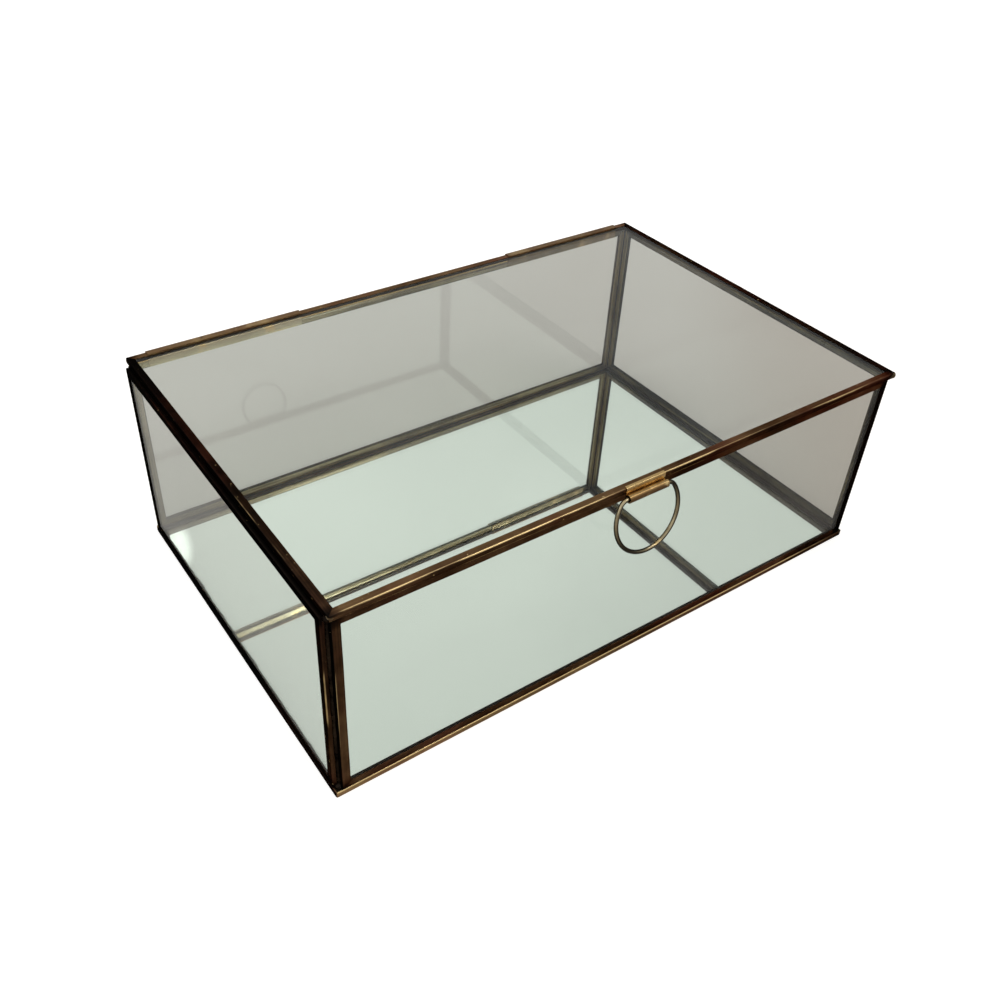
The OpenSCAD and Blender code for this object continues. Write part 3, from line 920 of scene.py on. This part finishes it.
BEAD_STEP = 0.7 * MM
BEAD_R = 0.95 * MM
BEAD_SWELL = 0.35         # how much fatter and thinner the bead gets, as a share
SWELL_WAVES = (40, 40, 160)       # across a metre in x, y and z
BEAD_UNEVEN = 0.10 * MM
BLOB_R = 1.8 * MM
FOOT_BLOB = (0.2, 1.0)    # how far up from the foot its blob lies, and how big it is, both as
HEAD_BLOB = (0.8, 0.9)    # shares of BLOB_R, and the same down from the head

wall_low, wall_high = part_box("wall_corner_solder")
notch_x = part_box("front_channel_left")[0].x
notch_y = {"front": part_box("left_channel_front")[0].y, "back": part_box("left_channel_back")[1].y}


def bead_balls(x, y):
    """Balls one above another up a corner, some fatter than others, with a blob at each end."""
    tall = wall_high.z - wall_low.z
    steps = round(tall / BEAD_STEP)
    balls = []
    for i in range(steps + 1):
        centre = Vector((x, y, wall_low.z + tall * i / steps))
        swell = noise.noise([place * waves for place, waves in zip(centre, SWELL_WAVES)])
        balls.append((centre, BEAD_R * (1 + BEAD_SWELL * swell)))
    for from_z, way, (away, size) in ((wall_low.z, 1, FOOT_BLOB), (wall_high.z, -1, HEAD_BLOB)):
        balls.append((Vector((x, y, from_z + way * away * BLOB_R)), size * BLOB_R))
    return balls


solder = solder_material("solder", (0.75, 1.0))
cap_solder = solder_material("brassy solder", (0.2, 0.75))
beads = []
for side, x in (("left", notch_x), ("right", -notch_x)):
    for end, y in notch_y.items():
        out = Vector((math.copysign(1, x), -1 if end == "front" else 1, 0))
        inside = Vector((x, y, 0)) - SINK * out
        outside = Vector((math.copysign(wall_high.x, x), wall_low.y if y < 0 else wall_high.y, 0))
        low = Vector((min(inside.x, outside.x), min(inside.y, outside.y), wall_low.z - SINK))
        high = Vector((max(inside.x, outside.x), max(inside.y, outside.y), wall_high.z))
        beads.append(lump(f"{side}_{end}_corner_solder", bead_balls(x, y), low, high, solder,
                          BEAD_UNEVEN))
for bead in beads:
    stand_for(bead, "box", "solder", "wall_corner_solder")

CAP_R = {"left_front": 1.15 * MM, "right_front": 1.5 * MM, "left_back": 1.2 * MM,
         "right_back": 1.25 * MM}
CAP_UNEVEN = 0.07 * MM
CAP_DROP = 0.05 * MM      # how far below the top of the lid's frame the caps end
# Millimetres in from the corner, and size, of the balls that a cap flows over
CAP_BALLS = ((0.95, 0.95, 1.0), (1.9, 0.9, 0.85), (0.9, 1.9, 0.85), (2.9, 0.85, 0.7),
             (0.85, 2.9, 0.7))

cap_low, cap_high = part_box("lid_corner_solder")
rim_low, rim_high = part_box("lid_channel_front")
cap_top = Vector((cap_high.x, cap_high.y, rim_high.z - CAP_DROP))
lid_edges = {
    "left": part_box("lid_channel_left")[0].x, "right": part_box("lid_channel_right")[1].x,
    "front": rim_low.y, "back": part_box("lid_channel_back")[1].y,
}
middle_z = (rim_low.z + rim_high.z) / 2
for side, inward_x in (("left", 1), ("right", -1)):
    for end, inward_y in (("front", 1), ("back", -1)):
        radius = CAP_R[f"{side}_{end}"]
        balls = []
        for along_x, along_y, size in CAP_BALLS:
            centre = Vector((lid_edges[side] + inward_x * along_x * MM,
                             lid_edges[end] + inward_y * along_y * MM, middle_z))
            balls.append((centre, radius * size))
        cap = lump(f"lid_{side}_{end}_solder", balls, cap_low, cap_top, cap_solder, CAP_UNEVEN)
        stand_for(cap, "lid", "solder", "lid_corner_solder")


# ---- Hinges ---------------------------------------------------------------
# Two long sleeve hinges of thin brass sheet. One leaf folds over the back wall and rolls into
# the outer knuckles, the other folds over the lid and rolls into the middle one, round a pin.

LEAF = 0.35 * MM
LEAF_STEP = 1.6 * MM
LEAF_UNEVEN = 0.03 * MM
LEAF_WAVES = 160.0        # waves across a metre of leaf
FIT = 0.02 * MM           # how much smaller the leaves and the strap are than their room
PLAY = 0.2 * MM           # between the knuckles
FOOT_RISE = 0.45 * MM     # how far above the lid's underside its leaf turns to the pin
BEND_STEPS, KNUCKLE_STEPS = 5, 28
WALL_ROLL, LID_ROLL = 325, 300     # degrees that the leaves go round the pin


def strip_outline(path):
    """The closed outline of a strip of sheet that runs along path."""
    points = [Vector(p) for p in path]
    left, right = [], []
    for i, point in enumerate(points):
        before = (point - points[i - 1]).normalized() if i else None
        after = (points[i + 1] - point).normalized() if i + 1 < len(points) else None
        run = ((before or after) + (after or before)).normalized()
        across = Vector((-run.y, run.x)) * (LEAF / 2)
        across /= max(0.5, run.dot(before or after))
        left.append(tuple(point + across))
        right.append(tuple(point - across))
    return left + right[::-1]


def strip_tree():
    """Draws an outline along X and makes it slightly uneven."""
    tree, given, result = start_group("formed strip", {
        "Outline": "Object", "Length": "Float", "Step": "Float", "Unevenness": "Float",
        "Brass": "Material"})
    outline = add(tree, "GeometryNodeObjectInfo", ("Object", given["Outline"]))
    here = add(tree, "GeometryNodeInputPosition").outputs[0]
    flat = add(tree, "ShaderNodeSeparateXYZ", (0, here))
    section = kept(tree, "depth", outline.outputs["Geometry"], flat.outputs["X"])
    section = kept(tree, "across", section, flat.outputs["Y"])
    end = add(tree, "ShaderNodeCombineXYZ", ("X", given["Length"]))
    line = add(tree, "GeometryNodeCurvePrimitiveLine", ("End", end.outputs[0]))
    count = math_node(tree, "ADD", math_node(tree, "DIVIDE", given["Length"], given["Step"]), 2)
    path = add(tree, "GeometryNodeResampleCurve", ("Curve", line.outputs[0]), ("Count", count))
    path = kept(tree, "along", path.outputs[0], flat.outputs["X"])
    strip = add(tree, "GeometryNodeCurveToMesh", ("Curve", path), ("Profile Curve", section))
    strip.inputs["Fill Caps"].default_value = True
    place = add(tree, "ShaderNodeCombineXYZ", ("X", stored(tree, "along")),
                ("Y", stored(tree, "depth")), ("Z", stored(tree, "across"))).outputs[0]
    wobble = add(tree, "ShaderNodeTexNoise", ("Vector", place), Scale=LEAF_WAVES, Detail=1.0)
    centred = add(tree, "ShaderNodeVectorMath", (0, wobble.outputs["Color"]),
                  operation="SUBTRACT")
    centred.inputs[1].default_value = (0.5, 0.5, 0.5)
    reach = add(tree, "ShaderNodeCombineXYZ", ("Y", given["Unevenness"]),
                ("Z", given["Unevenness"]))
    offset = add(tree, "ShaderNodeVectorMath", (0, centred.outputs[0]), (1, reach.outputs[0]),
                 operation="MULTIPLY")
    outward = add(tree, "GeometryNodeFlipFaces", ("Mesh", strip.outputs[0]))
    moved = add(tree, "GeometryNodeSetPosition", ("Geometry", outward.outputs[0]),
                ("Position", place), ("Offset", offset.outputs[0]))
    end_group(tree, moved.outputs[0], given["Brass"], result)
    return tree


forming = strip_tree()


def joined(name, parts):
    """One object from several, whose closed meshes stay as they are."""
    mesh = bmesh.new()
    for part in parts:
        mesh.from_mesh(part.data)
    materials = list(parts[0].data.materials)
    for part in parts:
        bpy.data.objects.remove(part)
    bmesh.ops.triangulate(mesh, faces=[f for f in mesh.faces if len(f.verts) > 4])
    data = bpy.data.meshes.new(name)
    mesh.to_mesh(data)
    mesh.free()
    for material in materials:
        data.materials.append(material)
    piece = bpy.data.objects.new(name, data)
    bpy.context.scene.collection.objects.link(piece)
    return piece


def formed(name, sections, material, step=LEAF_STEP, uneven=LEAF_UNEVEN):
    """Sheet drawn along X: each section has a path of (y, z), a start and an end."""
    parts = []
    for path, start, end in sections:
        outline = poly_curve("outline", strip_outline(path))
        part = made_by(forming, name, Outline=outline, Length=end - start, Step=step,
                       Unevenness=uneven, Brass=material)
        part.data.transform(Matrix.Translation((start, 0, 0)))
        bpy.data.objects.remove(outline)
        parts.append(part)
    return joined(name, parts)


def wall_leaf(side, start, end, centre, coil, brass):
    """The leaf that folds over the back wall, with a knuckle at each end of the hinge."""
    low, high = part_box(f"{side}_hinge_box_leaf")
    third = (end - start) / 3
    flange, top = low.y + LEAF / 2, high.z - LEAF / 2
    saddle = [(flange, low.z)]
    saddle += arc((flange + LEAF, top - LEAF), LEAF, 180, 90, BEND_STEPS)
    knuckle = saddle + arc(centre, coil, 90, 90 - WALL_ROLL, KNUCKLE_STEPS)
    plain = saddle + [(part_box("back_channel_top")[1].y, top)]
    leaf = formed(f"{side}_hinge_wall_leaf", (
        (knuckle, start, start + third), (plain, start + third, end - third),
        (knuckle, end - third, end)), brass)
    stand_for(leaf, "box", "bright_brass", f"{side}_hinge_box_leaf")


def lid_leaf(side, start, end, centre, coil, brass):
    """The leaf that folds over the back of the lid, with its knuckle in the middle."""
    low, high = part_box(f"{side}_hinge_lid_leaf")
    back_low, back_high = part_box("lid_channel_back")
    third = (end - start) / 3
    face, top = back_high.y + LEAF / 2, high.z - LEAF / 2 - FIT
    saddle = [(low.y, top)] + arc((face - LEAF, top - LEAF), LEAF, 90, 0, BEND_STEPS)
    foot = (face, back_low.z + FOOT_RISE)
    reach = Vector(foot) - Vector(centre)
    tangent = math.degrees(math.atan2(reach.y, reach.x) - math.acos(coil / reach.length))
    knuckle = saddle + [foot] + arc(centre, coil, tangent, tangent - LID_ROLL, KNUCKLE_STEPS)
    plain = saddle + [(face, back_low.z)]
    leaf = formed(f"{side}_hinge_lid_leaf_sheet", (
        (plain, start, start + third), (saddle + [foot], start + third, end - third),
        (knuckle, start + third + PLAY, end - third - PLAY), (plain, end - third, end)), brass)
    stand_for(leaf, "lid", "bright_brass", f"{side}_hinge_lid_leaf")


bright_brass = brass_material("bright brass", 0.24)
# Painted highlight: the left flange gets paler brass than the right one, for the bright line along
# it.
flange_brass = {"left": brass_material("pale brass", 0.18, steps=RING_STEPS, red=0.0),
                "right": brass_material("brown brass", 0.52, steps=INNER_STEPS, red=0.2, worn=0.3)}
leaf_brass = brass_material("leaf brass", 0.45, red=0.2, worn=0.2)
for side, brass in flange_brass.items():
    hinge_low, hinge_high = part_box(f"{side}_hinge_box_leaf")
    pin_low, pin_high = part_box(f"{side}_hinge_pin")
    axis = (pin_low + pin_high) / 2
    coil = hinge_high.y - axis.y - LEAF / 2 - FIT
    where = (hinge_low.x, hinge_high.x, (axis.y, axis.z), coil)
    wall_leaf(side, *where, brass)
    lid_leaf(side, *where, leaf_brass)
    finish_node(f"{side}_hinge_pin", bright_brass)


# ---- Pull -----------------------------------------------------------------
# A strip of brighter brass hooks over the front edge of the lid, and its lower end is rolled
# into a tube. A stiff ring of brass wire turns in the tube, its ends butted inside.

STRAP_STEP = 0.8 * MM
STRAP_UNEVEN = 0.05 * MM
STRAP_FIT = 1.5 * FIT
TUBE_R = 1.5 * MM
TUBE_ROLL, TUBE_STEPS = 335, 36
STRAP_DARK = (0.4 * MM, 2.1 * MM)  # above the middle of the tube, where the strap darkens

hanger_low, hanger_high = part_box("pull_hanger")
strap_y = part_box("lid_channel_front")[0].y - LEAF / 2
strap_top = hanger_high.z - LEAF / 2 - STRAP_FIT
roll_r = TUBE_R - LEAF / 2
tube = Vector((strap_y - roll_r, hanger_low.z + TUBE_R))
strap = [(hanger_high.y, strap_top)]
strap += arc((strap_y + LEAF, strap_top - LEAF), LEAF, 90, 180, BEND_STEPS)
strap += arc(tube, roll_r, 0, -TUBE_ROLL, TUBE_STEPS)
hanger_brass = brass_material("hanger brass", 0.12,
                              darker_below=[tube.y + above for above in STRAP_DARK])
hanger = formed("pull_strap", ((strap, hanger_low.x, hanger_high.x),), hanger_brass,
                STRAP_STEP, STRAP_UNEVEN)
stand_for(hanger, "lid", "bright_brass", "pull_hanger")

WIRE_R = 0.8 * MM
WIRE_UNEVEN = 0.06        # how much thicker and thinner the wire gets, as a share of its radius
WIRE_WAVES = 210          # waves of that across a metre
WIRE_SIDES = 24
BEND_R = 3.7 * MM         # of the two bends between the straight top and the round
RING_DROP = 8.9 * MM      # from the straight top down to the middle of the round
RING_LEAN = math.radians(11)
TOP_REACH = 0.9           # share of the top that is straight, up to where the bends begin
TOP_STEPS, RING_BEND_STEPS, ROUND_STEPS = 14, 12, 90
ring_low, ring_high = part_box("pull_ring")
ring_r = (ring_high.x - ring_low.x) / 2 - WIRE_R
ring_x = (ring_high.x + ring_low.x) / 2


def ring_path():
    """The middle of the wire, flat: a straight top, a bend at each side and the round."""
    bend_x = math.sqrt((ring_r - BEND_R) ** 2 - (RING_DROP - BEND_R) ** 2)
    turn = math.degrees(math.atan2(bend_x, RING_DROP - BEND_R))
    top = TOP_REACH * bend_x
    loop = [(-top + 2 * top * i / TOP_STEPS, 0) for i in range(TOP_STEPS + 1)]
    loop += arc((bend_x, -BEND_R), BEND_R, 90, 90 - turn, RING_BEND_STEPS)
    loop += arc((0, -RING_DROP), ring_r, 90 - turn, turn - 270, ROUND_STEPS)[1:]
    loop += arc((-bend_x, -BEND_R), BEND_R, 90 + turn, 90, RING_BEND_STEPS)[1:]
    return loop


def wire_tree():
    """A round wire that follows a path, a little thicker and thinner as it goes."""
    tree, given, result = start_group("bent wire", {
        "Path": "Object", "Radius": "Float", "Unevenness": "Float", "Brass": "Material"})
    path = add(tree, "GeometryNodeObjectInfo", ("Object", given["Path"]))
    place = add(tree, "GeometryNodeInputPosition").outputs[0]
    swell = math_node(tree, "SUBTRACT", noise_value(tree, place, WIRE_WAVES, 2), 0.5)
    swell = math_node(tree, "ADD", math_node(tree, "MULTIPLY", swell, given["Unevenness"]), 1)
    sized = add(tree, "GeometryNodeSetCurveRadius", ("Curve", path.outputs["Geometry"]),
                ("Radius", swell))
    round_section = add(tree, "GeometryNodeCurvePrimitiveCircle", ("Radius", given["Radius"]),
                        Resolution=WIRE_SIDES)
    scale = add(tree, "GeometryNodeInputRadius")
    wire = add(tree, "GeometryNodeCurveToMesh", ("Curve", sized.outputs[0]),
               ("Profile Curve", round_section.outputs[0]), ("Scale", scale.outputs[0]))
    end_group(tree, wire.outputs[0], given["Brass"], result)
    return tree


# Its rim of 0.05 paints a dark outline of shade round the wire.
ring_brass = brass_material("ring brass", 0.38, (0.12, 0.24), RING_STEPS, 0.2, rim=0.05)
loop = poly_curve("loop", ring_path())
ring = made_by(wire_tree(), "pull_ring_wire", Path=loop, Radius=WIRE_R,
               Unevenness=WIRE_UNEVEN, Brass=ring_brass)
bpy.data.objects.remove(loop)
hang = Matrix.Translation((ring_x, tube.x, tube.y))
ring.data.transform(hang @ Matrix.Rotation(math.pi / 2 - RING_LEAN, 4, "X"))
stand_for(ring, "ring", "bright_brass", "pull_ring")
